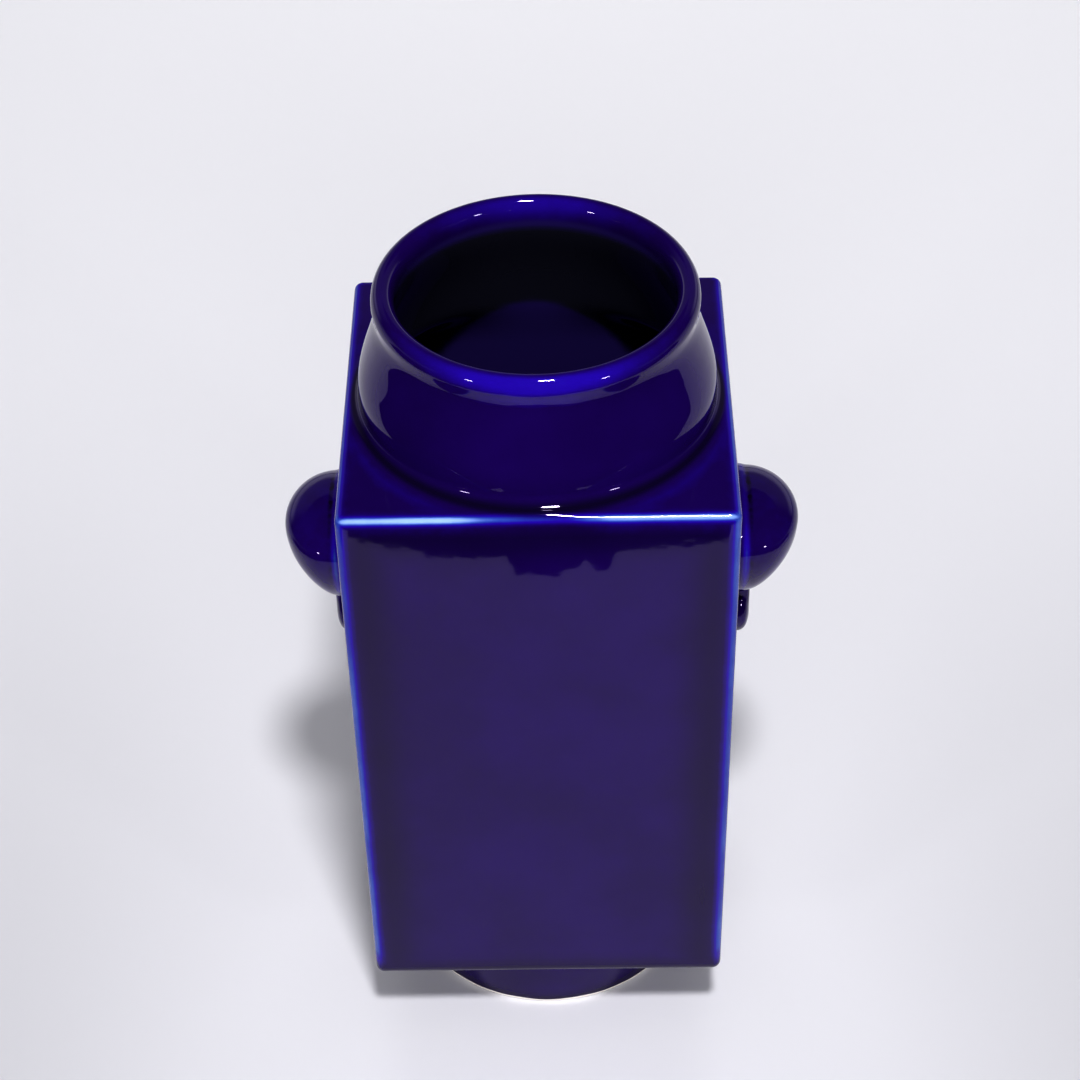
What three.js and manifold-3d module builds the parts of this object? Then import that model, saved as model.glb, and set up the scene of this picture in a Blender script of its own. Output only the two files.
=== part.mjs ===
// A square vase with a round neck, a round foot and two lug handles, in one
// piece of glazed stoneware. Millimetres, +Z up, the front faces -Y, and the
// origin is at the middle of the foot's underside.

import * as THREE from 'three';
import * as BufferGeometryUtils from 'three/addons/utils/BufferGeometryUtils.js';
import Module from 'manifold-3d';

const wasm = await Module();
wasm.setup();

// Square body: its width is taken at the shoulder, and each side leans in by
// the draft on its way down
const bodyWidth = 126.4;
const bodyHeight = 222;
const bodyDraft = 0.4;
const bodyCorner = 4;
const bodyEdge = 2.5;

// Clay thickness
const wall = 6;
const floorThickness = 7;
const shoulderThickness = 7;
const innerCorner = 7;
const innerEdge = 5;

// Round foot
const footHeight = 28;
const footRadius = 54.2;
const footRingWidth = 8;
const footChamfer = 1.2;
const footFillet = 2;

// Round neck and its rolled lip
const neckHeight = 44.2;
const neckBaseRadius = 58.3;
const neckFillet = 3.5;
const neckLean = 6.9;
const lipHeight = 10.7;
const lipBulge = 1;
const lipRound = 3.4;
const lipTuck = 0.4;
const neckWall = 6.4;
const neckBend = 0.3;
const throatBend = 0.4;

// Lug handles, one on each side: an egg-shaped head on a low collar, and
// under it the tip of a tongue that lies against the wall
const handleReach = 24.6;
const handleDepthBelowShoulder = 54.1;
const headHalfWidth = 23;
const headRise = 12.1;
const headFall = 29.6;
const headTuck = 0.38;
const collarThickness = 7;
const collarEdge = 1.2;
const collarLedge = 0.5;
const tongueThickness = 9.6;
const tongueEdge = 3.5;
const tongueHalfWidth = 8.5;
const tongueDropBelowHead = 23;
const handleRoot = 3;

// Fineness of the curves
const turnSteps = 60;
const curveSteps = 3;
const smallRoundSteps = 2;
const bevelSteps = 3;

// Levels and radii that follow from the sizes above
const shoulderZ = footHeight + bodyHeight;
const lipTopZ = shoulderZ + neckHeight;
const grooveZ = lipTopZ - lipHeight;
const lipCentreZ = lipTopZ - lipRound;
const grooveRadius = neckBaseRadius - neckLean;
const mouthRadius = grooveRadius - neckWall;
const throatRadius = neckBaseRadius - wall;
const cavityFloorZ = footHeight + floorThickness;
const cavityTopZ = shoulderZ - shoulderThickness;
const footBoreRadius = footRadius - footChamfer - footRingWidth;
const overlap = 2;

// How far a side of the body stands in from the shoulder's width at height z
function draftAt(z) {
  return (bodyDraft * (shoulderZ - z)) / bodyHeight;
}

// A square with rounded corners, centred on the origin
function roundedSquare(width, corner) {
  const half = width / 2;
  const inner = half - corner;
  const square = new THREE.Shape();
  square.moveTo(half, -inner);
  square.absarc(inner, inner, corner, 0, Math.PI / 2);
  square.absarc(-inner, inner, corner, Math.PI / 2, Math.PI);
  square.absarc(-inner, -inner, corner, Math.PI, 1.5 * Math.PI);
  square.absarc(inner, -inner, corner, 1.5 * Math.PI, 2 * Math.PI);
  return square;
}

// A square block with soft edges whose sides lean with the body's draft
function leaningBlock(width, corner, edge, bottomZ, topZ) {
  const block = new THREE.ExtrudeGeometry(roundedSquare(width, corner), {
    depth: topZ - bottomZ - 2 * edge,
    bevelThickness: edge,
    bevelSize: edge,
    bevelOffset: -edge,
    bevelSegments: bevelSteps,
    curveSegments: curveSteps,
  });
  block.translate(0, 0, bottomZ + edge);
  const place = block.getAttribute('position');
  for (let i = 0; i < place.count; i += 1) {
    const shrink = 1 - draftAt(place.getZ(i)) / (width / 2);
    place.setXY(i, place.getX(i) * shrink, place.getY(i) * shrink);
  }
  return block;
}

// A turned solid, from a path of radius and height that starts on the axis,
// goes out and up, and ends on the axis
function turned(path, steps) {
  return new THREE.LatheGeometry(path.getPoints(steps), turnSteps).rotateX(Math.PI / 2);
}

// Neck outside: a fillet on the shoulder, a wall that is upright at the base
// and leans in towards the groove, and the bulge and round of the lip
function neckGeometry() {
  const profile = new THREE.Path();
  const neckFootZ = shoulderZ + neckFillet;
  const lipCentreRadius = mouthRadius + lipRound - lipTuck;
  profile.moveTo(0, shoulderZ - overlap);
  profile.lineTo(neckBaseRadius, shoulderZ - overlap);
  profile.lineTo(neckBaseRadius + neckFillet, shoulderZ);
  profile.absarc(neckBaseRadius + neckFillet, neckFootZ, neckFillet, 1.5 * Math.PI, Math.PI, true);
  const bendZ = neckFootZ + (grooveZ - neckFootZ) * neckBend;
  profile.quadraticCurveTo(neckBaseRadius, bendZ, grooveRadius, grooveZ);
  const bulgeRadius = grooveRadius + lipBulge;
  const bulgeZ = (grooveZ + lipTopZ) / 2;
  profile.quadraticCurveTo(bulgeRadius, (grooveZ + bulgeZ) / 2, bulgeRadius, bulgeZ);
  profile.bezierCurveTo(
    bulgeRadius, lipCentreZ,
    lipCentreRadius + lipRound, lipTopZ,
    lipCentreRadius, lipTopZ,
  );
  profile.absarc(lipCentreRadius, lipCentreZ, lipRound, Math.PI / 2, Math.PI);
  profile.lineTo(0, lipCentreZ);
  return turned(profile, curveSteps);
}

// The throat, from inside the body up through the lip
function throatGeometry() {
  const profile = new THREE.Path();
  profile.moveTo(0, cavityTopZ - overlap);
  profile.lineTo(throatRadius, cavityTopZ - overlap);
  profile.lineTo(throatRadius, shoulderZ);
  const bendZ = shoulderZ + (grooveZ - shoulderZ) * throatBend;
  profile.quadraticCurveTo(throatRadius, bendZ, mouthRadius, grooveZ);
  profile.lineTo(mouthRadius, lipTopZ + overlap);
  profile.lineTo(0, lipTopZ + overlap);
  return turned(profile, curveSteps);
}

// Foot outside: a small chamfer at the table and a fillet under the body
function footGeometry() {
  const profile = new THREE.Path();
  profile.moveTo(0, 0);
  profile.lineTo(footRadius - footChamfer, 0);
  profile.lineTo(footRadius, footChamfer);
  profile.lineTo(footRadius, footHeight - footFillet);
  profile.absarc(footRadius + footFillet, footHeight - footFillet, footFillet, Math.PI, Math.PI / 2, true);
  profile.lineTo(footRadius, footHeight + overlap);
  profile.lineTo(0, footHeight + overlap);
  return turned(profile, smallRoundSteps);
}

// The hollow under the foot, up to the underside of the body
function footHollowGeometry() {
  const profile = new THREE.Path();
  profile.moveTo(0, -overlap);
  profile.lineTo(footBoreRadius, -overlap);
  profile.lineTo(footBoreRadius, footHeight - innerEdge);
  profile.absarc(footBoreRadius - innerEdge, footHeight - innerEdge, innerEdge, 0, Math.PI / 2);
  profile.lineTo(0, footHeight);
  return turned(profile, smallRoundSteps);
}

// An upright plate on the body's side: its outline lies in Y and Z, and it
// goes out along +X to the given thickness, with a soft outer edge
function sidePlate(outline, thickness, edge) {
  const plate = new THREE.ExtrudeGeometry(outline, {
    depth: handleRoot + thickness - 2 * edge,
    bevelThickness: edge,
    bevelSize: edge,
    bevelOffset: -edge,
    bevelSegments: bevelSteps,
    curveSegments: 3 * curveSteps,
  });
  plate.translate(0, 0, edge - handleRoot);
  const yzUpright = new THREE.Matrix4().makeBasis(
    new THREE.Vector3(0, 1, 0),
    new THREE.Vector3(0, 0, 1),
    new THREE.Vector3(1, 0, 0),
  );
  return plate.applyMatrix4(yzUpright);
}

// The collar behind the head, an egg shape that hangs lower than it rises
function collarGeometry() {
  const egg = new THREE.Shape();
  egg.moveTo(headHalfWidth, 0);
  egg.absellipse(0, 0, headHalfWidth, headRise, 0, Math.PI);
  egg.absellipse(0, 0, headHalfWidth, headFall, Math.PI, 2 * Math.PI);
  return sidePlate(egg, collarThickness, collarEdge);
}

// The domed head: a ball drawn out to the egg's rise, fall and width, with
// its underside tucked in towards the collar
function headGeometry() {
  const dome = new THREE.SphereGeometry(1, 10 * curveSteps, 6 * curveSteps);
  const place = dome.getAttribute('position');
  const domeReach = handleReach - collarThickness;
  for (let i = 0; i < place.count; i += 1) {
    const up = place.getZ(i);
    const reachUp = up > 0 ? headRise : headFall;
    const under = Math.min(1, Math.max(0, -up) * 1.2);
    const reachOut = domeReach * (1 - headTuck * under * under);
    place.setXYZ(
      i,
      collarThickness + place.getX(i) * reachOut,
      place.getY(i) * (headHalfWidth - collarLedge),
      up * (reachUp - collarLedge),
    );
  }
  return dome;
}

// The tongue: a strap with a round end that shows below the head
function tongueGeometry() {
  const endZ = -headFall - tongueDropBelowHead + tongueHalfWidth;
  const strap = new THREE.Shape();
  strap.moveTo(tongueHalfWidth, -headFall / 2);
  strap.lineTo(-tongueHalfWidth, -headFall / 2);
  strap.absarc(0, endZ, tongueHalfWidth, Math.PI, 2 * Math.PI);
  return sidePlate(strap, tongueThickness, tongueEdge);
}

// A three.js geometry as a solid that can be joined and cut
function solidOf(geometry) {
  const bare = geometry.clone();
  bare.deleteAttribute('normal');
  bare.deleteAttribute('uv');
  const welded = BufferGeometryUtils.mergeVertices(bare);
  const index = welded.getIndex().array;
  const triangles = [];
  for (let i = 0; i < index.length; i += 3) {
    const [a, b, c] = [index[i], index[i + 1], index[i + 2]];
    if (a !== b && b !== c && c !== a) triangles.push(a, b, c);
  }
  return new wasm.Manifold(
    new wasm.Mesh({
      numProp: 3,
      vertProperties: new Float32Array(welded.getAttribute('position').array),
      triVerts: new Uint32Array(triangles),
    }),
  );
}

// A joined and cut solid as a three.js geometry
function geometryOf(solid) {
  const mesh = solid.getMesh();
  const geometry = new THREE.BufferGeometry();
  geometry.setAttribute('position', new THREE.BufferAttribute(mesh.vertProperties, 3));
  geometry.setIndex(new THREE.BufferAttribute(mesh.triVerts, 1));
  geometry.computeVertexNormals();
  return geometry;
}

// One handle on the +X side, or turned half round onto the -X side
function handleSolid(turn) {
  const handleZ = shoulderZ - handleDepthBelowShoulder;
  const wallX = bodyWidth / 2 - draftAt(handleZ);
  const pieces = [collarGeometry(), headGeometry(), tongueGeometry()];
  return pieces
    .map((piece) => solidOf(piece.translate(wallX, 0, handleZ).rotateZ(turn)))
    .reduce((joined, piece) => joined.add(piece));
}

// The whole vase: the outside joined up, then hollowed out
function vaseSolid() {
  const outside = solidOf(leaningBlock(bodyWidth, bodyCorner, bodyEdge, footHeight, shoulderZ))
    .add(solidOf(neckGeometry()))
    .add(solidOf(footGeometry()))
    .add(handleSolid(0))
    .add(handleSolid(Math.PI));
  const cavityWidth = bodyWidth - 2 * wall;
  return outside
    .subtract(solidOf(leaningBlock(cavityWidth, innerCorner, innerEdge, cavityFloorZ, cavityTopZ)))
    .subtract(solidOf(throatGeometry()))
    .subtract(solidOf(footHollowGeometry()));
}

const blueGlaze = new THREE.MeshStandardMaterial({
  name: 'blue_glaze',
  color: 0x1a0a5c,
  roughness: 0.08,
  metalness: 0,
});

const vase = new THREE.Mesh(geometryOf(vaseSolid()), blueGlaze);
vase.name = 'vase';

const squareVase = new THREE.Group();
squareVase.add(vase);

export default squareVase;
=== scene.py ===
import math
import bmesh
import bpy
from mathutils import Matrix, Vector


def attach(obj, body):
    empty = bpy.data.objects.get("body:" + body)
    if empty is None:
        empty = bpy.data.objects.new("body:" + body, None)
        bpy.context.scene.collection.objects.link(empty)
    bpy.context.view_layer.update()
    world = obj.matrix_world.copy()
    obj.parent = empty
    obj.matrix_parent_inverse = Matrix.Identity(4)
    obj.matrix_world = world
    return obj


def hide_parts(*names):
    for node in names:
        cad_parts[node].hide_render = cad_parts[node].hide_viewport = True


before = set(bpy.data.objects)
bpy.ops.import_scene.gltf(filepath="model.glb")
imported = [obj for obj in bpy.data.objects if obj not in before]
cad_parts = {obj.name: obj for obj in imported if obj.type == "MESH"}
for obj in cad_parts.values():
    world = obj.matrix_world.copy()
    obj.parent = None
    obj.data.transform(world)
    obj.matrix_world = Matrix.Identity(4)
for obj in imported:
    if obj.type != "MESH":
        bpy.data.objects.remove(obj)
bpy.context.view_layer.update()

mm = 0.001

# camera, fitted to the body's corners and the rim
camera = {
    "place": (0.00837, -0.65175, 0.76865),
    "pitch": 0.7305,      # down, radians
    "yaw": -0.0134,
    "roll": -0.0225,
    "lens": 84.9,
    "sensor": 36,
}

# square body, millimetres; heights are above the table
body = {
    "halfWidth": 63.19,
    "draft": 0.2,         # each side leans in by this much at the bottom
    "bottom": 28,
    "top": 250,
    "corner": 3.0,
    "leastCorner": 0.8,   # radius left at the underside's corners
    "leastTopCorner": 1.2,
    "topEdge": 2.6,
    "topEdgeRows": 8,
    "bottomEdge": 3.8,
    "bottomEdgeRows": 7,
    "rowStep": 4.2,
    "firstRow": 1.2,      # above the bottom edge
    "lastRow": 1.0,       # below the top edge
    "underRows": (0.3, 0.65, 0.9, 1),     # from the foot out to the bottom edge
    "shoulderRows": (0.05, 0.12, 0.25, 0.45, 0.7, 0.9),     # from the top edge in to the neck
}

# round foot
foot = {
    "radius": 54.2,
    "boreRadius": 45,
    "chamfer": 1.2,
    "innerRound": (0.4, 0.35),     # middle of the ring's soft edge, from the wall and from the table
    "outerRound": (0.35, 0.35),
    "fillet": 2.2,
    "filletGap": 0.8,     # from the last row of the foot to the fillet
    "boreFillet": 5,
    "filletRows": 5,
    "middleRing": 4,      # radii of the rows on the underside, then the heights of those below it
    "hollowRings": (12, 22, 32),
    "boreHeights": (16, 9, 4),
    "outerHeights": (1.6, 2.0, 2.6, 3.4, 4.4, 6, 8, 13, 18, 22),
    "glazeEnd": 1.7,
}

# neck: radius and height above the shoulder, from the base fillet up to the groove under the lip
neck = {
    "flatten": 0.985,     # front to back, against side to side
    "filletHeight": 5,
    "filletReach": 7,     # at the front and back; where this passes the shoulder's edge, it lifts the edge
    "filletAside": 0.6,   # size of the fillet at the two sides, against the front
    "filletRows": 12,
    "edgeGap": 0.25,      # kept between the fillet and the shoulder's edge
    "baseRadius": 58.3,
    "wall": [
        (58.3, 5), (58.2, 8), (57.9, 11), (57.0, 15), (55.5, 20), (53.9, 25), (52.75, 29), (52.15, 31.5),
    ],
    "groove": [(51.85, 33.5), (51.8, 35), (52.0, 36.8)],
    "bulge": (52.35, 38.9),
    "crest": (48.6, 44.1),
    "mouth": (44.9, 38.8),
    "throat": [(45.1, 36), (46.4, 31), (48.4, 25), (50.8, 18), (52.6, 11), (53.7, 4), (54.3, -2)],
    "wallSteps": 3,       # rows between two points of the wall
    "throatSteps": 2,
    "lipRows": (9, 8),    # on the lip's outside and inside
}

# inside of the body
cavity = {
    "halfWidth": 55,
    "corner": 7,
    "edge": 4,
    "edgeRows": 5,
    "spread": 20,         # height over which the round throat widens to the square inside
    "spreadRows": 7,
    "floor": 35,
    "floorRings": (25, 10),
    "rowStep": 6,
    "shadeTop": 247,      # where the painted shadow of the lip ends on the back wall, and how it drops aside
    "shadeFall": 0.0195,
    "shadeMiddle": -2,
    "shadeBlend": 3,
    "throatShade": 38,    # height above the shoulder where the painted shadow in the throat ends
    "throatBlend": 6,
}

# lug handle, millimetres from the wall and from the head's middle
handle = {
    "height": 195.9,      # of the head's middle above the table
    "reach": {1: 24.5, -1: 23.9},     # on the right and on the left
    "halfWidth": 23,
    "rise": 11.2,
    "fall": 29.6,
    "tuck": 0.38,         # how much less the dome's underside stands out than a ball's
    "tuckDepth": 0.83,    # share of the fall where the tuck is whole
    "tuckPower": 2.2,
    "collar": 7,
    "collarEdge": 1.4,
    "ledge": 0.6,
    "root": 3,            # how far the collar and the tongue reach into the wall
    "tongueHalfWidth": 8.5,
    "tongueDrop": {1: 23.2, -1: 20.6},
    "tongueThickness": {1: 9.5, -1: 9.1},
    "tongueHalfHeight": 10,
    "tongueSquareness": 0.3,
    "strapHalfWidth": 4.8,
    "strapRound": 2.2,
    "strapInset": 0.2,    # how far the strap's face lies behind the pad's
    "voxel": 0.75,
    "smoothing": 4,
    "patchMargin": 7,
    "slabDepth": 8,
    "slabMargin": 4,
    "skinDepth": 2,       # what lies deeper in the wall is cut away
    "flatBelow": 0.12,    # what stands out less than this is laid flat
    "wallWithin": 0.5,
    "clearSide": 4,       # room between the patch and the edge of the opening in the wall
    "clearEnds": 5,
}

# glaze: colours are linear, from thick to thin
glaze = {
    # inside is the painted shadow in the throat and under the lip; insideLow is the hollow's own tint below
    # it
    "inside": (0.012, 0.012, 0.027),
    "insideLow": (0.026, 0.012, 0.14),
    "pooled": (0.0045, 0.0016, 0.020),
    "deep": (0.0125, 0.0010, 0.080),
    "full": (0.0165, 0.0014, 0.108),
    "royal": (0.024, 0.0030, 0.33),
    "azure": (0.034, 0.078, 0.40),
    "pale": (0.34, 0.50, 0.94),
    "clay": (0.93, 0.90, 0.85),
    "clayDark": (0.82, 0.78, 0.72),
    "roughness": 0.03,
    "ior": 1.5,
    "specularTint": (0.85, 0.72, 1.0),
    "clayRoughness": 0.75,
    "hollowBend": 160,     # bend, per metre, where the glaze pools
    "spread": 2,           # rounds of evening out the bend
    "broadScale": 22,      # of the uneven patches
    "uneven": (0.8, 1.12),
    "fineScale": 160,
    "speckle": 0.015,
    "lineScale": 60,       # waves of the line where the glaze ends
    "lineWave": 0.0002,    # metres
    "swellScale": 90,      # the faint orange peel
    "swell": 0.00003,
    "royalFrom": (0.02, 0.28),     # thinness over which each colour comes in
    "azureFrom": (0.32, 0.6),
    "paleFrom": (0.5, 1.0),
    "pooledFrom": (0.05, 0.7),
}

# thinness of the glaze on the crests, and the painted light on the lip, from 0 to 1, with distances in
# millimetres
crests = {
    "frontTop": [(-63, 1.0), (-26, 1.0), (-14, 0.55), (8, 0.45), (18, 0.8), (40, 0.75), (63, 0.85)],
    "sideTop": 0.52,
    "backTop": 0.3,
    "topMiddle": 0.7,      # distance of the edge's middle from its two sides
    "topWidth": 1.15,
    "upright": 0.56,
    "uprightMiddle": 1.4,
    "uprightWidth": 1.3,
    "uprightSkirt": 0.08,  # share of the faint wide part
    "topSkirt": 0.2,
    "skirtWidth": 2.6,
    "flat": 6,             # farther in than this the shoulder has no light edge
    "cornerBlend": 6,      # over which the front's edge passes into the side's
    "bottom": 0.05,
    "bottomFrom": 4,       # above the bottom edge, where the uprights grow light
    "bottomBlend": 10,
    "neckFrom": 8,         # above the shoulder, where the neck and lip begin
    # the lip's royal is thin glaze with painted light where the lip faces the key light, and painted shade
    # away from it
    "lipFront": 0.34,
    "lipSide": 0.05,
    "lipBottom": 33.6,
    "lipRise": 3,
    "lipFar": 0.5,         # painted shade: share lost on the far half of the lip
    "lipFarBlend": 20,
    "lipUp": 0.57,         # how far the painted light on the lip faces up and forward, towards the key light
    "lipForward": 0.82,
    "lipFrom": 0.66,
    "lipBlend": 0.3,
    "lipShaded": 0.15,     # painted shade: share left on the side of the lip that faces the back
    "collar": 0.5,
    "collarFrom": 5.6,
    "collarWidth": 1.1,
    "collarLow": 4,        # where the collar's light line fades, at its foot and at its top
    "collarLowBlend": 20,
    "collarHigh": 14,
    "collarHighBlend": 12,
    "skirtRing": 0.09,     # on the shoulder round the neck
    "skirtRingFrom": 1.4,
    "skirtRingWidth": 0.4,
    "tongue": 0.03,
}

# glaze painted darker in a band beside the edges of the sides and above the bottom edge, and thick glaze at
# the foot
bands = {
    "side": 0.6,
    "sideDistance": 7.5,
    "sideWidth": 9,
    "sideOuter": 2.2,     # how much faster the band ends towards the edge
    "flat": 4,            # farther in than this the underside and shoulder have no band
    "bottom": 0.85,
    "bottomReach": 6,
    "foot": 0.8,
    "footReach": 3,
    "neck": 0.6,
    "neckFrom": 0.42,
    "neckWidth": 0.34,
    "neckEnd": 9,
}

sideSteps = 40
cornerSteps = 8
ringSteps = 4 * (sideSteps + cornerSteps)
ringStart = -45           # degrees, the corner where each ring begins


def limited(value):
    return min(1, max(0, value))


def spoke(i):
    # direction of a ring's point, radians
    return math.radians(ringStart) + 2 * math.pi * i / ringSteps


def circleRing(radius, height, flatten=1):
    spots = []
    for i in range(ringSteps):
        angle = spoke(i)
        spots.append((radius * math.cos(angle), radius * math.sin(angle) * flatten, height))
    return spots


def filletShare(x, y):
    # size of the neck's base fillet in this direction, against the front
    return neck["filletAside"] + (1 - neck["filletAside"]) * y * y / max(x * x + y * y, 1)


def filletOut(x, y):
    # 0 at the neck's wall and 1 where the base fillet ends on the shoulder
    reach = neck["filletReach"] * filletShare(x, y)
    return (math.hypot(x, y / neck["flatten"]) - neck["baseRadius"]) / reach


def skirtHeight(x, y):
    # how far the neck's base fillet lifts the shoulder at a spot
    out = limited(filletOut(x, y))
    return neck["filletHeight"] * filletShare(x, y) * (1 - math.sqrt(1 - (1 - out) ** 2))


def filletRing(t):
    # part of the neck's base fillet, from the shoulder or its edge at 0 to the neck's wall at 1
    spots = []
    for i in range(ringSteps):
        c, s = math.cos(spoke(i)), math.sin(spoke(i)) * neck["flatten"]
        reach = neck["filletReach"] * filletShare(c, s)
        flatHalf = body["halfWidth"] - body["topEdge"] - neck["edgeGap"]
        free = flatHalf / max(abs(c), abs(s)) - neck["baseRadius"]
        start = math.asin(1 - min(1, free / reach))
        turn = start + (math.pi / 2 - start) * t
        radius = neck["baseRadius"] + reach * (1 - math.sin(turn))
        height = neck["filletHeight"] * filletShare(c, s) * (1 - math.cos(turn))
        spots.append((radius * c, radius * s, body["top"] + height))
    return spots


def squareRing(half, corner, height):
    # starts in the middle of a corner and goes round by +X, +Y, -X and -Y
    quarter = []
    straight = half - corner
    for k in range(cornerSteps // 2 + 1):
        angle = math.radians(ringStart) + math.radians(45) * k / (cornerSteps / 2)
        quarter.append((straight + corner * math.cos(angle), -straight + corner * math.sin(angle)))
    for k in range(1, sideSteps + 1):
        t = 2 * k / sideSteps - 1
        quarter.append((half, straight * (0.4 * t + 0.6 * math.sin(math.pi * t / 2))))
    for k in range(1, cornerSteps // 2):
        angle = math.radians(45) * k / (cornerSteps / 2)
        quarter.append((straight + corner * math.cos(angle), straight + corner * math.sin(angle)))
    spots = []
    for turn in range(4):
        for x, y in quarter:
            for _ in range(turn):
                x, y = -y, x
            spots.append((x, y, height))
    return spots


def morphRing(a, b, t, height):
    return [(p[0] + (q[0] - p[0]) * t, p[1] + (q[1] - p[1]) * t, height) for p, q in zip(a, b)]


def arcPoints(centre, radiusA, radiusB, startDegrees, endDegrees, count):
    # radius and height along an arc, without its first point
    points = []
    for k in range(1, count + 1):
        angle = math.radians(startDegrees + (endDegrees - startDegrees) * k / count)
        points.append((centre[0] + radiusA * math.cos(angle), centre[1] + radiusB * math.sin(angle)))
    return points


def smoothLine(points, steps):
    # a smooth curve through the points
    line = []
    for k in range(len(points) - 1):
        p0 = points[max(k - 1, 0)]
        p1 = points[k]
        p2 = points[k + 1]
        p3 = points[min(k + 2, len(points) - 1)]
        for s in range(steps):
            t = s / steps
            line.append(tuple(
                0.5 * (2 * p1[i] + (p2[i] - p0[i]) * t
                       + (2 * p0[i] - 5 * p1[i] + 4 * p2[i] - p3[i]) * t * t
                       + (3 * p1[i] - p0[i] - 3 * p2[i] + p3[i]) * t * t * t)
                for i in range(2)))
    line.append(points[-1])
    return line


def steps(start, end, size):
    count = max(1, round(abs(end - start) / size))
    return [start + (end - start) * k / count for k in range(1, count + 1)]


def footRings():
    # from the middle of the hollow out, down to the foot ring and up to the body
    bottom, bore, outer = body["bottom"], foot["boreRadius"], foot["radius"]
    fillet = foot["boreFillet"]
    rings = [circleRing(radius, bottom) for radius in foot["hollowRings"] + (bore - fillet,)]
    for r, z in arcPoints((bore - fillet, bottom - fillet), fillet, fillet, 90, 0, foot["filletRows"]):
        rings.append(circleRing(r, z))
    for z in foot["boreHeights"] + (foot["chamfer"],):
        rings.append(circleRing(bore, z))
    rings.append(circleRing(bore + foot["innerRound"][0], foot["innerRound"][1]))
    for radius in (bore + foot["chamfer"], (bore + outer) / 2, outer - foot["chamfer"]):
        rings.append(circleRing(radius, 0))
    rings.append(circleRing(outer - foot["outerRound"][0], foot["outerRound"][1]))
    fillet = foot["fillet"]
    for z in (foot["chamfer"],) + foot["outerHeights"] + (bottom - fillet - foot["filletGap"],):
        rings.append(circleRing(outer, z))
    for r, z in arcPoints((outer + fillet, bottom - fillet), fillet, fillet, 180, 90, foot["filletRows"]):
        rings.append(circleRing(r, z))
    return rings


def bodyRings():
    # underside, bottom edge, sides and top edge
    bottom, top, edge = body["bottom"], body["top"], body["bottomEdge"]
    halfLow = body["halfWidth"] - body["draft"]
    inner = circleRing(foot["radius"] + foot["fillet"], bottom)
    rim = squareRing(halfLow - edge, max(body["leastCorner"], body["corner"] - edge), bottom)
    rings = [morphRing(inner, rim, t, bottom) for t in body["underRows"]]
    for r, z in arcPoints((halfLow - edge, bottom + edge), edge, edge, -90, 0, body["bottomEdgeRows"]):
        rings.append(squareRing(r, max(body["leastCorner"], body["corner"] - (halfLow - r)), z))
    topEdge = body["topEdge"]
    low = bottom + edge
    high = top - topEdge
    first = low + body["firstRow"]
    for z in [first] + steps(first, high - body["lastRow"], body["rowStep"]) + [high]:
        half = halfLow + body["draft"] * (z - low) / (high - low)
        rings.append(squareRing(half, body["corner"], z))
    for r, z in arcPoints((body["halfWidth"] - topEdge, high), topEdge, topEdge, 0, 90, body["topEdgeRows"]):
        ring = squareRing(r, max(body["leastTopCorner"], body["corner"] - (body["halfWidth"] - r)), z)
        share = ((z - high) / topEdge) ** 2
        rings.append([(x, y, h + share * skirtHeight(x, y)) for x, y, h in ring])
    return rings


def neckRings():
    # shoulder, base fillet, neck, lip and throat
    top = body["top"]
    rim = squareRing(body["halfWidth"] - body["topEdge"], body["corner"] - body["topEdge"], top)
    inner = filletRing(0)
    rings = []
    for t in body["shoulderRows"]:
        ring = morphRing(rim, inner, t, top)
        rings.append([(x, y, h + skirtHeight(x, y)) for x, y, h in ring])
    rings += [filletRing(k / (neck["filletRows"] - 1)) for k in range(neck["filletRows"])]
    crest, bulge, mouth = neck["crest"], neck["bulge"], neck["mouth"]
    outside, within = neck["lipRows"]
    line = smoothLine(neck["wall"] + neck["groove"] + [bulge], neck["wallSteps"])[1:]
    line += arcPoints((crest[0], bulge[1]), bulge[0] - crest[0], crest[1] - bulge[1], 0, 90, outside)
    line += arcPoints((crest[0], mouth[1]), crest[0] - mouth[0], crest[1] - mouth[1], 90, 180, within)
    line += smoothLine([mouth] + neck["throat"], neck["throatSteps"])[1:]
    return rings + [circleRing(r, top + h, neck["flatten"]) for r, h in line]


def cavityRings():
    # inside of the body, down to its floor and in to the middle
    edge, half, corner, floor = cavity["edge"], cavity["halfWidth"], cavity["corner"], cavity["floor"]
    throatRadius, throatEnd = neck["throat"][-1]
    inner = circleRing(throatRadius, 0, neck["flatten"])
    rim = squareRing(half, corner, 0)
    rings = []
    for k in range(1, cavity["spreadRows"] + 1):
        t = k / cavity["spreadRows"]
        level = body["top"] + throatEnd - cavity["spread"] * t
        rings.append(morphRing(inner, rim, t * t * (3 - 2 * t), level))
    for z in steps(level, floor + edge, cavity["rowStep"]):
        rings.append(squareRing(half, corner, z))
    for r, z in arcPoints((half - edge, floor + edge), edge, edge, 0, -90, cavity["edgeRows"]):
        rings.append(squareRing(r, corner - (half - r), z))
    rim = squareRing(half - edge, corner - edge, floor)
    wide, narrow = (circleRing(radius, floor) for radius in cavity["floorRings"])
    return rings + [morphRing(rim, wide, 0.5, floor), wide, narrow]


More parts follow.
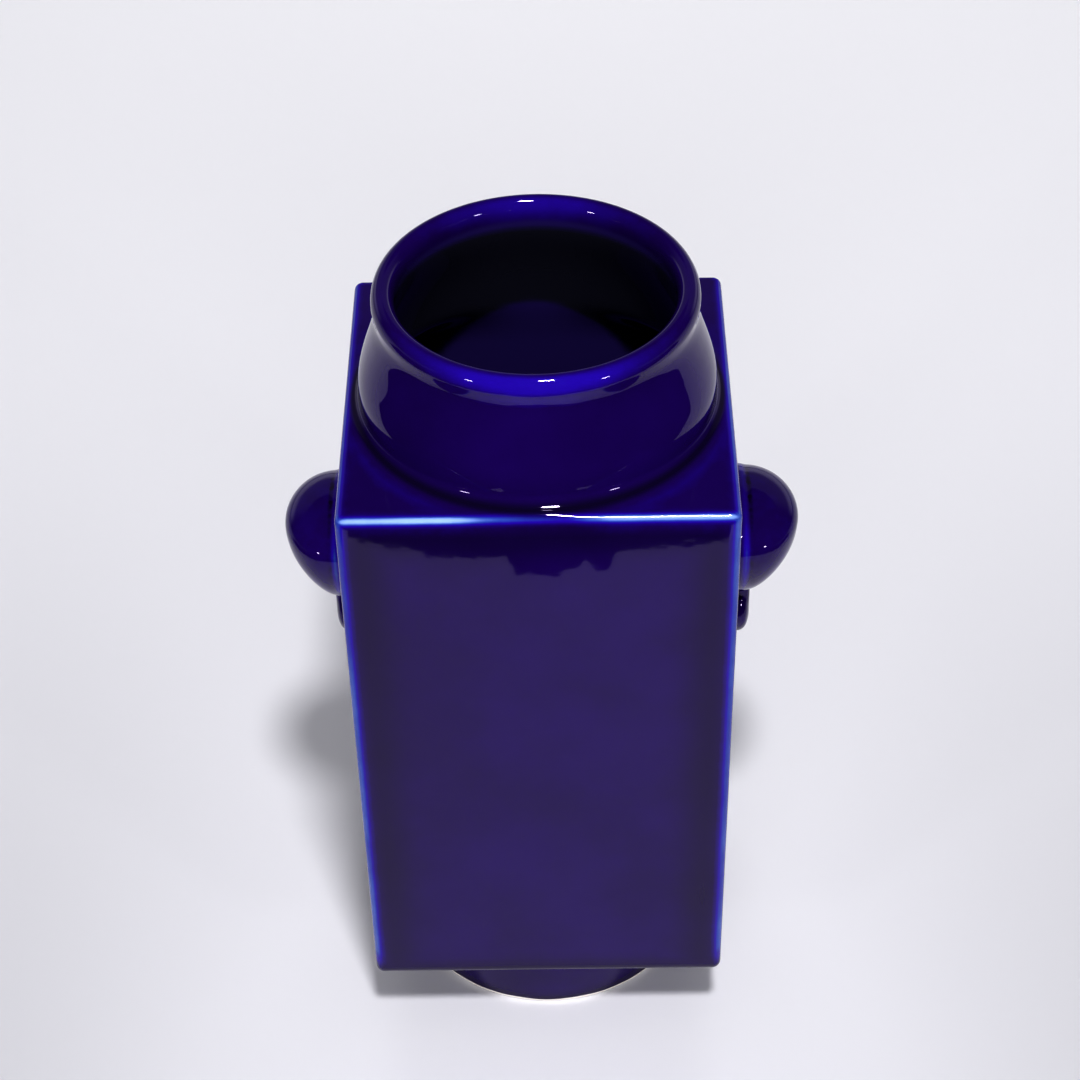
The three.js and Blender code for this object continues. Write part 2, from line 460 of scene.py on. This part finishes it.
def buildBody():
    # one skin, drawn out ring by ring from the middle of the underside to the middle of the floor inside
    bm = bmesh.new()
    place = bm.verts.layers.int.new("place")
    rings = footRings() + bodyRings() + neckRings() + cavityRings()
    first = bmesh.ops.create_circle(
        bm, cap_ends=True, cap_tris=True, segments=ringSteps, radius=foot["middleRing"] * mm)
    middle = max(first["verts"], key=lambda v: len(v.link_edges))
    middle.co = Vector((0, 0, body["bottom"])) * mm
    outerVerts = [v for v in first["verts"] if v is not middle]
    justBefore = math.radians(ringStart - 0.01)
    outerVerts.sort(key=lambda v: (math.atan2(v.co.y, v.co.x) - justBefore) % (2 * math.pi))
    for i, (v, spot) in enumerate(zip(outerVerts, circleRing(foot["middleRing"], body["bottom"]))):
        v[place] = i
        v.co = Vector(spot) * mm
    edges = [e for e in bm.edges if e.is_boundary]
    for spots in rings:
        out = bmesh.ops.extrude_edge_only(bm, edges=edges)
        newVerts = [g for g in out["geom"] if isinstance(g, bmesh.types.BMVert)]
        for v in newVerts:
            v.co = Vector(spots[v[place]]) * mm
        newSet = set(newVerts)
        edges = [g for g in out["geom"] if isinstance(g, bmesh.types.BMEdge)
                 and g.verts[0] in newSet and g.verts[1] in newSet]
    cap = bmesh.ops.contextual_create(bm, geom=edges)
    bmesh.ops.poke(bm, faces=cap["faces"])
    bm.verts.layers.int.remove(place)
    bmesh.ops.recalc_face_normals(bm, faces=bm.faces)
    print("body rings:", len(rings), "faces:", len(bm.faces))
    return bm


def eggPlate(bm):
    # the collar: an upright plate with the head's egg outline and a soft outer edge
    out = bmesh.ops.create_circle(bm, cap_ends=True, cap_tris=False, segments=96, radius=1)
    for v in out["verts"]:
        y, z = v.co.x, v.co.y
        reachUp = handle["rise"] if z > 0 else handle["fall"]
        v.co = Vector((-handle["root"], y * handle["halfWidth"], z * reachUp)) * mm
    faces = list({f for v in out["verts"] for f in v.link_faces})
    lift = bmesh.ops.extrude_face_region(bm, geom=faces)
    newVerts = [g for g in lift["geom"] if isinstance(g, bmesh.types.BMVert)]
    bmesh.ops.translate(bm, verts=newVerts, vec=((handle["collar"] + handle["root"]) * mm, 0, 0))
    rimEdges = [e for e in bm.edges if e.verts[0] in newVerts and e.verts[1] in newVerts]
    bmesh.ops.bevel(bm, geom=rimEdges, offset=handle["collarEdge"] * mm, affect='EDGES',
                    segments=4, profile=0.5, material=-1)


def domeHead(bm, side):
    out = bmesh.ops.create_uvsphere(bm, u_segments=64, v_segments=40, radius=1)
    reach = handle["reach"][side] - handle["collar"]
    for v in out["verts"]:
        reachUp = handle["rise"] if v.co.z > 0 else handle["fall"]
        slim = 1 - handle["tuck"] * limited(-v.co.z / handle["tuckDepth"]) ** handle["tuckPower"]
        v.co = Vector((
            handle["collar"] + v.co.x * reach * slim,
            v.co.y * (handle["halfWidth"] - handle["ledge"]),
            v.co.z * (reachUp - handle["ledge"]),
        )) * mm


def tongueLump(bm, side):
    # a round pad at the end of a narrow strap
    out = bmesh.ops.create_uvsphere(bm, u_segments=48, v_segments=32, radius=1)
    middle = handle["tongueHalfHeight"] - handle["fall"] - handle["tongueDrop"][side]
    for v in out["verts"]:
        x = handle["tongueThickness"][side] if v.co.x > 0 else -handle["root"]
        v.co = Vector((
            x * abs(v.co.x) ** handle["tongueSquareness"],
            v.co.y * handle["tongueHalfWidth"],
            v.co.z * handle["tongueHalfHeight"] + middle,
        )) * mm
    top = -handle["fall"] / 2
    long = handle["tongueThickness"][side] - handle["strapInset"] + handle["root"]
    out = bmesh.ops.create_cube(bm, size=1)
    bmesh.ops.scale(bm, verts=out["verts"],
                    vec=(long * mm, 2 * handle["strapHalfWidth"] * mm, (top - middle) * mm))
    bmesh.ops.translate(bm, verts=out["verts"],
                        vec=((long / 2 - handle["root"]) * mm, 0, (top + middle) / 2 * mm))
    edges = list({e for v in out["verts"] for e in v.link_edges})
    bmesh.ops.bevel(bm, geom=edges, offset=handle["strapRound"] * mm, affect='EDGES',
                    segments=4, profile=0.5, material=-1)


def wallSlab(bm, low, high, half):
    # the wall behind the handle
    depth, margin = handle["slabDepth"], handle["slabMargin"]
    out = bmesh.ops.create_cube(bm, size=1)
    bmesh.ops.scale(bm, verts=out["verts"],
                    vec=(depth * mm, 2 * (half + margin) * mm, (high - low + 2 * margin) * mm))
    bmesh.ops.translate(bm, verts=out["verts"], vec=(-depth / 2 * mm, 0, (high + low) / 2 * mm))


def handlePatch(side):
    # the wall's patch and the handle on it as one skin, its corners filled as glaze fills them
    half = handle["halfWidth"] + handle["patchMargin"]
    low = -handle["fall"] - handle["tongueDrop"][side] - handle["patchMargin"]
    high = handle["rise"] + handle["patchMargin"]
    bm = bmesh.new()
    wallSlab(bm, low, high, half)
    eggPlate(bm)
    domeHead(bm, side)
    tongueLump(bm, side)
    bmesh.ops.recalc_face_normals(bm, faces=bm.faces)
    mesh = bpy.data.meshes.new("handlePatch")
    bm.to_mesh(mesh)
    bm.free()
    block = bpy.data.objects.new("handlePatch", mesh)
    bpy.context.collection.objects.link(block)
    remesh = block.modifiers.new("skin", 'REMESH')
    remesh.mode = 'VOXEL'
    remesh.voxel_size = handle["voxel"] * mm
    remesh.adaptivity = 0
    bpy.context.view_layer.update()
    depsgraph = bpy.context.evaluated_depsgraph_get()
    skin = bpy.data.meshes.new_from_object(block.evaluated_get(depsgraph))
    bpy.data.objects.remove(block)
    bm = bmesh.new()
    bm.from_mesh(skin)
    bpy.data.meshes.remove(skin)
    for _ in range(handle["smoothing"]):
        bmesh.ops.smooth_vert(bm, verts=bm.verts, factor=0.5,
                              use_axis_x=True, use_axis_y=True, use_axis_z=True)
    # keep the front skin within the patch
    for place, normal in (
        ((0, half, 0), (0, 1, 0)),
        ((0, -half, 0), (0, -1, 0)),
        ((0, 0, high), (0, 0, 1)),
        ((0, 0, low), (0, 0, -1)),
        ((-handle["skinDepth"], 0, 0), (-1, 0, 0)),
    ):
        bmesh.ops.bisect_plane(bm, geom=list(bm.verts) + list(bm.edges) + list(bm.faces), dist=1e-6,
                               plane_co=Vector(place) * mm, plane_no=normal, clear_outer=True)
    for v in bm.verts:
        if v.co.x < handle["flatBelow"] * mm:
            v.co.x = 0
    print("handle patch faces:", len(bm.faces))
    return bm, half, low, high


def joinHandle(bm, patch, half, low, high, side):
    # opens the wall behind the handle and fills the frame between the two with flat faces
    wallX = body["halfWidth"] * mm
    middle = handle["height"] * mm
    sideReach = (half + handle["clearSide"]) * mm
    ends = handle["clearEnds"] * mm
    doomed = []
    for f in bm.faces:
        inside = all(
            abs(v.co.x * side - wallX) < handle["wallWithin"] * mm
            and abs(v.co.y) < sideReach
            and low * mm - ends < v.co.z - middle < high * mm + ends
            for v in f.verts)
        if inside:
            doomed.append(f)
    borderBefore = {e for e in bm.edges if e.is_boundary}
    bmesh.ops.delete(bm, geom=doomed, context='FACES')
    hole = [e for e in bm.edges if e.is_boundary and e not in borderBefore]
    mesh = bpy.data.meshes.new("patch")
    patch.to_mesh(mesh)
    before = set(bm.verts)
    bm.from_mesh(mesh)
    bpy.data.meshes.remove(mesh)
    added = {v for v in bm.verts if v not in before}
    for v in added:
        # the flat part lies in the wall, which leans with the draft
        z = middle + v.co.z
        lean = body["draft"] * mm * (body["top"] * mm - z) / ((body["top"] - body["bottom"]) * mm)
        v.co = Vector((side * (wallX - lean + v.co.x), v.co.y * side, z))
    patchEdges = [e for e in bm.edges if e.is_boundary and e.verts[0] in added]
    bmesh.ops.triangle_fill(bm, use_beauty=True, use_dissolve=False,
                            edges=hole + patchEdges, normal=(side, 0, 0))
    print("handle joined, hole edges:", len(hole), "patch edges:", len(patchEdges))


def buildVase():
    bm = buildBody()
    for side in (1, -1):
        patch, half, low, high = handlePatch(side)
        joinHandle(bm, patch, half, low, high, side)
        patch.free()
    bmesh.ops.recalc_face_normals(bm, faces=bm.faces)
    openEdges = [e for e in bm.edges if not e.is_manifold]
    print("open edges:", len(openEdges), "faces:", len(bm.faces))
    markGlaze(bm)
    mesh = bpy.data.meshes.new("squareVase")
    bm.to_mesh(mesh)
    bm.free()
    for poly in mesh.polygons:
        poly.use_smooth = True
    vase = bpy.data.objects.new("squareVase", mesh)
    bpy.context.collection.objects.link(vase)
    return vase


def bend(v):
    # how strongly the skin bends at a point: above 0 on a crest, below 0 in a hollow
    most, least = 0, 0
    for e in v.link_edges:
        other = e.other_vert(v)
        step = other.co - v.co
        length = step.length_squared
        if length < 1e-9:
            continue
        curve = (other.normal - v.normal).dot(step) / length
        most = max(most, curve)
        least = min(least, curve)
    return most + least


def fade(distance, middle, width, skirt):
    # 1 on a crest, with a faint wide part round it
    away = max(0, distance - middle)
    narrow = math.exp(-(away / width) ** 2)
    wide = math.exp(-(away / crests["skirtWidth"]) ** 2)
    return narrow * (1 - skirt) + wide * skirt


def alongLine(line, x):
    # value at x on a line of points
    for (x0, y0), (x1, y1) in zip(line, line[1:]):
        if x <= x1:
            return y0 + (y1 - y0) * max(0, x - x0) / (x1 - x0)
    return line[-1][1]


def lipThinAndLit(spot, normal):
    # thin glaze on the lip with painted light: royal where the lip faces the key light, most at the front,
    # with painted shade on its far half and on the side that faces the back
    facing = (abs(spot.y) / max(0.001, math.hypot(spot.x, spot.y))) ** 2
    share = crests["lipSide"] + (crests["lipFront"] - crests["lipSide"]) * facing
    faced = crests["lipUp"] * normal.z - crests["lipForward"] * normal.y
    lit = limited((faced - crests["lipFrom"]) / crests["lipBlend"])
    lit *= 1 - crests["lipFar"] * limited(spot.y / crests["lipFarBlend"] + 0.5)
    share *= crests["lipShaded"] + (1 - crests["lipShaded"]) * lit
    return share * limited((spot.z - body["top"] - crests["lipBottom"]) / crests["lipRise"])


def handleThinness(spot, half):
    # a light line round the collar, which fades at its top and its foot
    below = handle["height"] - spot.z
    low = limited((handle["fall"] - crests["collarLow"] - below) / crests["collarLowBlend"])
    high = limited((below + crests["collarHigh"]) / crests["collarHighBlend"])
    away = (abs(spot.x) - half - crests["collarFrom"]) / crests["collarWidth"]
    return max(crests["tongue"], crests["collar"] * math.exp(-away * away) * (low * high))


def thinnessAndLight(spot, normal):
    # how thin the glaze is at a spot, millimetres; on the lip this carries painted light as well
    x, y, z = spot
    top = body["top"]
    half = body["halfWidth"] - body["draft"] * (top - z) / (top - body["bottom"])
    outermost = max(abs(x), abs(y))
    if z > top + crests["neckFrom"]:
        return lipThinAndLit(spot, normal)
    if outermost > half + 0.5:
        return handleThinness(spot, half)
    out = filletOut(x, y)
    ring = 0
    if z > top - 0.5:
        away = (out - crests["skirtRingFrom"]) / crests["skirtRingWidth"]
        ring = crests["skirtRing"] * math.exp(-away * away)
    if outermost < half - crests["flat"] or z < body["bottom"] or (out < 0.05 and z > top):
        return ring
    sides = sorted((half - abs(x), half - abs(y)))
    uprights = fade(sides[1], crests["uprightMiddle"], crests["uprightWidth"], crests["uprightSkirt"])
    low = limited((z - body["bottom"] - crests["bottomFrom"]) / crests["bottomBlend"])
    uprights *= crests["bottom"] + (crests["upright"] - crests["bottom"]) * low
    edge = fade(max(top - z, sides[0]), crests["topMiddle"], crests["topWidth"], crests["topSkirt"])
    along = limited((abs(y) - abs(x)) / crests["cornerBlend"] + 0.5)
    end = alongLine(crests["frontTop"], x) if y < 0 else crests["backTop"]
    edge *= crests["sideTop"] + (end - crests["sideTop"]) * along
    return max(uprights, edge, ring)


def neckPool(spot):
    # the glaze gathered round the neck's base
    if spot.z > body["top"] + bands["neckEnd"]:
        return 0
    away = (filletOut(spot.x, spot.y) - bands["neckFrom"]) / bands["neckWidth"]
    return bands["neck"] * math.exp(-away * away)


def bandDarkening(spot):
    # how much darker the glaze is painted at a spot: a band beside the edges of the sides, a band above the
    # bottom edge, and thick glaze at the foot
    x, y, z = spot
    if z < body["bottom"]:
        away = max(0, z - foot["glazeEnd"]) / bands["footReach"]
        return bands["foot"] * math.exp(-away * away)
    if z > body["top"] or max(abs(x), abs(y)) < body["halfWidth"] - bands["flat"]:
        return 0
    inward = min(body["halfWidth"] - min(abs(x), abs(y)), body["top"] - z)
    away = (inward - bands["sideDistance"]) / bands["sideWidth"]
    if away < 0:
        away *= bands["sideOuter"]
    above = max(0, z - body["bottom"] - 1) / bands["bottomReach"]
    return max(bands["side"] * math.exp(-away * away), bands["bottom"] * math.exp(-above * above))


def insideShadowShare(spot, normal):
    # painted shadow of the lip: 1 in the throat and on the hollow's walls above the shadow's edge, 0.5 in
    # the rest of the body's hollow, 0 outside
    x, y, z = spot
    top = body["top"]
    outermost = max(abs(x), abs(y))
    within = cavity["halfWidth"] + 0.5
    if normal.x * x + normal.y * y > 0 or z < cavity["floor"] - 1 or outermost > within:
        return 0
    if z > top - 2 and math.hypot(x, y) > within:
        return 0
    if z > top:
        return limited((top + cavity["throatShade"] - z) / cavity["throatBlend"])
    shadeEnd = cavity["shadeTop"] - cavity["shadeFall"] * (x - cavity["shadeMiddle"]) ** 2
    return 0.5 + 0.5 * limited((z - shadeEnd) / cavity["shadeBlend"] + 0.5)


def markGlaze(bm):
    # glaze runs thin over crests and pools in hollows
    bm.normal_update()
    thinAndLit = bm.verts.layers.float.new("thinGlazeAndLight")
    pool = bm.verts.layers.float.new("pooledGlaze")
    darker = bm.verts.layers.float.new("darkenedGlaze")
    inside = bm.verts.layers.float.new("insideShadowGlaze")
    curve = {v: bend(v) for v in bm.verts}
    for _ in range(glaze["spread"]):
        evened = {}
        for v in bm.verts:
            around = sum(curve[e.other_vert(v)] for e in v.link_edges) / len(v.link_edges)
            evened[v] = 0.5 * curve[v] + 0.5 * around
        curve = evened
    for v in bm.verts:
        spot = v.co / mm
        hollow = limited(-curve[v] / glaze["hollowBend"])
        v[thinAndLit] = thinnessAndLight(spot, v.normal)
        v[pool] = hollow if spot.z < body["top"] - 1 else neckPool(spot)
        v[darker] = bandDarkening(spot)
        v[inside] = insideShadowShare(spot, v.normal)


def node(tree, kind, **settings):
    made = tree.nodes.new(kind)
    for name, value in settings.items():
        setattr(made, name, value)
    return made


def mixColours(tree, factor, a, b):
    mix = node(tree, "ShaderNodeMix", data_type='RGBA')
    for socket, value in ((mix.inputs["Factor"], factor), (mix.inputs["A"], a), (mix.inputs["B"], b)):
        if hasattr(value, "links"):
            tree.links.new(value, socket)
        elif isinstance(value, tuple):
            socket.default_value = value + (1,)
        else:
            socket.default_value = value
    return mix.outputs["Result"]


def maths(tree, operation, *values, clamp=False):
    step = node(tree, "ShaderNodeMath", operation=operation, use_clamp=clamp)
    for socket, value in zip(step.inputs, values):
        if hasattr(value, "links"):
            tree.links.new(value, socket)
        else:
            socket.default_value = value
    return step.outputs[0]


def attribute(tree, name):
    return node(tree, "ShaderNodeAttribute", attribute_name=name).outputs["Fac"]


def objectAxes(tree):
    # place on the object, and its three parts
    place = node(tree, "ShaderNodeTexCoord").outputs["Object"]
    axes = node(tree, "ShaderNodeSeparateXYZ")
    tree.links.new(place, axes.inputs[0])
    return place, axes.outputs


def remap(tree, value, fromLow, fromHigh, toLow, toHigh, smooth=True):
    step = node(tree, "ShaderNodeMapRange", interpolation_type='SMOOTHSTEP' if smooth else 'LINEAR')
    tree.links.new(value, step.inputs["Value"])
    step.inputs["From Min"].default_value = fromLow
    step.inputs["From Max"].default_value = fromHigh
    step.inputs["To Min"].default_value = toLow
    step.inputs["To Max"].default_value = toHigh
    return step.outputs["Result"]


def noiseOf(tree, coordinates, scale, detail, roughness=0.5):
    field = node(tree, "ShaderNodeTexNoise")
    tree.links.new(coordinates, field.inputs["Vector"])
    field.inputs["Scale"].default_value = scale
    field.inputs["Detail"].default_value = detail
    field.inputs["Roughness"].default_value = roughness
    return field.outputs["Fac"]


def glazeMaterial():
    material = bpy.data.materials.new("cobaltGlaze")
    material.use_nodes = True
    tree = material.node_tree
    shader = tree.nodes["Principled BSDF"]
    place, axes = objectAxes(tree)
    thinAndLit = attribute(tree, "thinGlazeAndLight")
    pool = attribute(tree, "pooledGlaze")
    darker = attribute(tree, "darkenedGlaze")
    inside = attribute(tree, "insideShadowGlaze")

    # uneven thickness
    broad = noiseOf(tree, place, glaze["broadScale"], 3)
    fine = noiseOf(tree, place, glaze["fineScale"], 4, 0.6)
    bare = maths(tree, 'MULTIPLY', thinAndLit, remap(tree, broad, 0.3, 0.7, *glaze["uneven"]))
    speckle = remap(tree, fine, 0.3, 0.7, -glaze["speckle"], glaze["speckle"])
    bare = maths(tree, 'ADD', bare, speckle, clamp=True)

    # from thick to thin, then the hollows and the inside; the thin colours carry the lip's painted light
    colour = mixColours(tree, remap(tree, broad, 0.3, 0.7, 0, 1), glaze["deep"], glaze["full"])
    colour = mixColours(tree, darker, colour, glaze["pooled"])
    royal = remap(tree, bare, *glaze["royalFrom"], 0, 1, smooth=False)
    colour = mixColours(tree, royal, colour, glaze["royal"])
    colour = mixColours(tree, remap(tree, bare, *glaze["azureFrom"], 0, 1), colour, glaze["azure"])
    colour = mixColours(tree, remap(tree, bare, *glaze["paleFrom"], 0, 1), colour, glaze["pale"])
    colour = mixColours(tree, remap(tree, pool, *glaze["pooledFrom"], 0, 1), colour, glaze["pooled"])
    # the hollow's tint, then the painted shadow of the lip in the throat and high in the hollow
    colour = mixColours(tree, remap(tree, inside, 0, 0.5, 0, 1), colour, glaze["insideLow"])
    colour = mixColours(tree, remap(tree, inside, 0.5, 1, 0, 1), colour, glaze["inside"])

    # bare clay below the glaze line
    wave = glaze["lineWave"]
    ragged = remap(tree, noiseOf(tree, place, glaze["lineScale"], 3), 0.3, 0.7, -wave, wave)
    line = maths(tree, 'ADD', axes["Z"], ragged)
    unglazed = remap(tree, line, foot["glazeEnd"] * mm - wave, foot["glazeEnd"] * mm + wave, 1, 0)
    clay = mixColours(tree, fine, glaze["clay"], glaze["clayDark"])
    tree.links.new(mixColours(tree, unglazed, colour, clay), shader.inputs["Base Color"])
    roughness = remap(tree, unglazed, 0, 1, glaze["roughness"], glaze["clayRoughness"])
    tree.links.new(roughness, shader.inputs["Roughness"])
    shader.inputs["IOR"].default_value = glaze["ior"]
    shader.inputs["Specular Tint"].default_value = glaze["specularTint"] + (1,)

    # the faint orange peel of a glossy glaze
    swell = node(tree, "ShaderNodeBump")
    swell.inputs["Strength"].default_value = 1
    swell.inputs["Distance"].default_value = glaze["swell"]
    tree.links.new(noiseOf(tree, place, glaze["swellScale"], 2), swell.inputs["Height"])
    tree.links.new(swell.outputs["Normal"], shader.inputs["Normal"])
    print("glaze material ready")
    return material


# table top, metres; painted light falloff: its tint runs from darker at the near edge to the far one, and
# darkens aside
table = {
    "size": 4,
    "near": (0.75, 0.745, 0.79),
    "far": (0.92, 0.915, 0.945),
    "tintFrom": -0.35,
    "tintTo": 0.9,
    "aside": 0.17,
    "asideFrom": 0.03,
    "asideTo": 0.24,
    "asideNear": -0.2,    # where the painted shade aside is strongest, and where it has gone
    "asideFar": 0.4,
    "asideWeight": 1.4,
    "roughness": 0.5,
}


def buildFloor():
    bm = bmesh.new()
    bmesh.ops.create_grid(bm, x_segments=1, y_segments=1, size=table["size"])
    mesh = bpy.data.meshes.new("tableTop")
    bm.to_mesh(mesh)
    bm.free()
    floor = bpy.data.objects.new("tableTop", mesh)
    bpy.context.collection.objects.link(floor)
    material = bpy.data.materials.new("paleTable")
    material.use_nodes = True
    tree = material.node_tree
    shader = tree.nodes["Principled BSDF"]
    axes = objectAxes(tree)[1]
    # painted light falloff: darker near the camera and to the sides
    backward = remap(tree, axes["Y"], table["tintFrom"], table["tintTo"], 0, 1, smooth=False)
    tint = mixColours(tree, backward, table["near"], table["far"])
    beside = maths(tree, 'ABSOLUTE', axes["X"])
    aside = remap(tree, beside, table["asideFrom"], table["asideTo"], 0, table["aside"])
    weight = remap(tree, axes["Y"], table["asideNear"], table["asideFar"], table["asideWeight"], 0)
    aside = maths(tree, 'MULTIPLY', aside, weight)
    tree.links.new(mixColours(tree, aside, tint, (0, 0, 0)), shader.inputs["Base Color"])
    shader.inputs["Roughness"].default_value = table["roughness"]
    mesh.materials.append(material)
    print("table ready")


# black sheet lying on the lit table in front of the vase, seen only in reflections: a painted reflection of
# the dark room that the glaze mirrors, metres
darkSheet = {
    "lift": 0.0005,
    "front": -4,
    "colour": (0.004, 0.004, 0.004),
    # its far edge on the left of the vase, by x and y
    "left": [
        (-5, -3), (-1.45, -0.6), (-1.38, -0.3), (-1.34, 0.17), (-0.83, 0.21), (-0.71, 0.23),
        (-0.54, 0.105), (-0.42, 0.0), (-0.385, -0.10), (-0.3, -0.19), (-0.15, -0.37),
    ],
    # the uneven part whose reflection shows at the top of the front face
    "frontFace": [
        (-0.11, -0.35), (-0.085, -0.332), (-0.05, -0.321), (-0.018, -0.319), (-0.013, -0.309),
        (0.004, -0.306), (0.010, -0.311), (0.0145, -0.313), (0.018, -0.318), (0.0215, -0.310),
        (0.027, -0.310), (0.031, -0.3225), (0.045, -0.323), (0.052, -0.325), (0.085, -0.329),
        (0.11, -0.345),
    ],
    "right": [
        (0.15, -0.36), (0.34, -0.25), (0.40, -0.11), (0.62, 0.02), (0.72, 0.14), (0.88, 0.19),
        (1.38, 0.15), (1.42, -0.3), (1.5, -0.6), (5, -3),
    ],
}


def buildDarkSheet():
    farEdge = darkSheet["left"] + darkSheet["frontFace"] + darkSheet["right"]
    last = len(farEdge) - 1
    bm = bmesh.new()
    bmesh.ops.create_grid(bm, x_segments=last, y_segments=1, size=1)
    for v in bm.verts:
        x, y = farEdge[round((v.co.x + 1) / 2 * last)]
        v.co = Vector((x, y if v.co.y > 0 else darkSheet["front"], darkSheet["lift"]))
    mesh = bpy.data.meshes.new("reflectedDarkSheet")
    bm.to_mesh(mesh)
    bm.free()
    sheet = bpy.data.objects.new("reflectedDarkSheet", mesh)
    bpy.context.collection.objects.link(sheet)
    material = bpy.data.materials.new("reflectedDarkSheet")
    material.use_nodes = True
    shader = material.node_tree.nodes["Principled BSDF"]
    shader.inputs["Base Color"].default_value = darkSheet["colour"] + (1,)
    shader.inputs["Roughness"].default_value = 1
    shader.inputs["Specular IOR Level"].default_value = 0
    mesh.materials.append(material)
    sheet.visible_camera = False
    sheet.visible_diffuse = False
    sheet.visible_shadow = False
    sheet.visible_transmission = False
    print("cloth ready")


def polar(azimuth, elevation, distance, height=0.1):
    a = math.radians(azimuth)
    e = math.radians(elevation)
    return (math.sin(a) * math.cos(e) * distance, -math.cos(a) * math.cos(e) * distance,
            math.sin(e) * distance + height)


# lamps: place, what they point at, size, power, and whether the glaze mirrors them
lamps = {
    "keyLight": ((0.141, -0.830, 2.0), (0, 0, 0.15), 0.24, 33.5, True),
    "leftLight": (polar(-42, 17, 1.5), (0, 0, 0.15), 0.15, 2.0, True),
    "rightLight": (polar(43, 17, 1.5), (0, 0, 0.15), 0.15, 2.0, True),
    "backFill": ((0, 1.7, 1.1), (0, 0.8, 0), 1.4, 14.5, False),
    "frontFill": ((0, -1.6, 0.8), (0, 0, 0.05), 1.2, 13, False),
}

# the room: its soft light, and what the glaze mirrors of it, with heights in degrees
room = {
    "light": (0.155, 0.155, 0.166),
    "dark": (0.012, 0.012, 0.016),
    "wall": (0.2, 0.19, 0.22),
    "wallEnd": (36, 39),
    "backdrop": (0.75, 0.745, 0.78),
    "backdropEnd": (6, 15),
    "behind": (0.45, 0.7),     # how far back a direction points, where the wall begins
    "gamma": 0.77,
}


def areaLight(name, place, target, size, power, mirrored):
    data = bpy.data.lights.new(name, 'AREA')
    data.shape = 'DISK'
    data.size = size
    data.energy = power
    lamp = bpy.data.objects.new(name, data)
    lamp.location = place
    lamp.rotation_euler = (Vector(target) - Vector(place)).to_track_quat('-Z', 'Y').to_euler()
    lamp.visible_glossy = mirrored
    bpy.context.collection.objects.link(lamp)


def lowPart(tree, rise, degrees):
    # 1 under the lower of two heights, 0 over the upper one
    low, high = (math.sin(math.radians(height)) for height in degrees)
    return remap(tree, rise, low, high, 1, 0)


def buildLights():
    for name, settings in lamps.items():
        areaLight(name, *settings)
    world = bpy.data.worlds.new("studio")
    world.use_nodes = True
    bpy.context.scene.world = world
    tree = world.node_tree
    # the glaze sees a dark room, with a bright backdrop low behind the table and a grey wall over it
    axes = node(tree, "ShaderNodeSeparateXYZ")
    tree.links.new(node(tree, "ShaderNodeTexCoord").outputs["Generated"], axes.inputs[0])
    behind = remap(tree, axes.outputs["Y"], *room["behind"], 0, 1)
    wall = maths(tree, 'MULTIPLY', lowPart(tree, axes.outputs["Z"], room["wallEnd"]), behind)
    backdrop = maths(tree, 'MULTIPLY', lowPart(tree, axes.outputs["Z"], room["backdropEnd"]), behind)
    mirrored = mixColours(tree, wall, room["dark"], room["wall"])
    mirrored = mixColours(tree, backdrop, mirrored, room["backdrop"])
    glossy = node(tree, "ShaderNodeLightPath").outputs["Is Glossy Ray"]
    seen = mixColours(tree, glossy, room["light"], mirrored)
    tree.links.new(seen, tree.nodes["Background"].inputs["Color"])
    view = bpy.context.scene.view_settings
    view.view_transform = 'Standard'
    view.gamma = room["gamma"]
    print("lights ready:", len(lamps))


def buildCamera():
    pitch, yaw, roll = camera["pitch"], camera["yaw"], camera["roll"]
    forward = Vector((math.sin(yaw) * math.cos(pitch), math.cos(yaw) * math.cos(pitch), -math.sin(pitch)))
    right = Vector((math.cos(yaw), -math.sin(yaw), 0))
    up = right.cross(forward)
    tilted = math.cos(roll) * right + math.sin(roll) * up
    upright = -math.sin(roll) * right + math.cos(roll) * up
    data = bpy.data.cameras.new("photoCamera")
    data.lens = camera["lens"]
    data.sensor_width = camera["sensor"]
    eye = bpy.data.objects.new("photoCamera", data)
    bpy.context.collection.objects.link(eye)
    turn = Matrix((tilted, upright, -forward)).transposed().to_4x4()
    eye.matrix_world = Matrix.Translation(camera["place"]) @ turn
    bpy.context.scene.camera = eye
    print("camera ready")


buildCamera()
vase = buildVase()
vase.data.materials.append(glazeMaterial())
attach(vase, "root")
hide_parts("vase")
buildFloor()
buildDarkSheet()
buildLights()
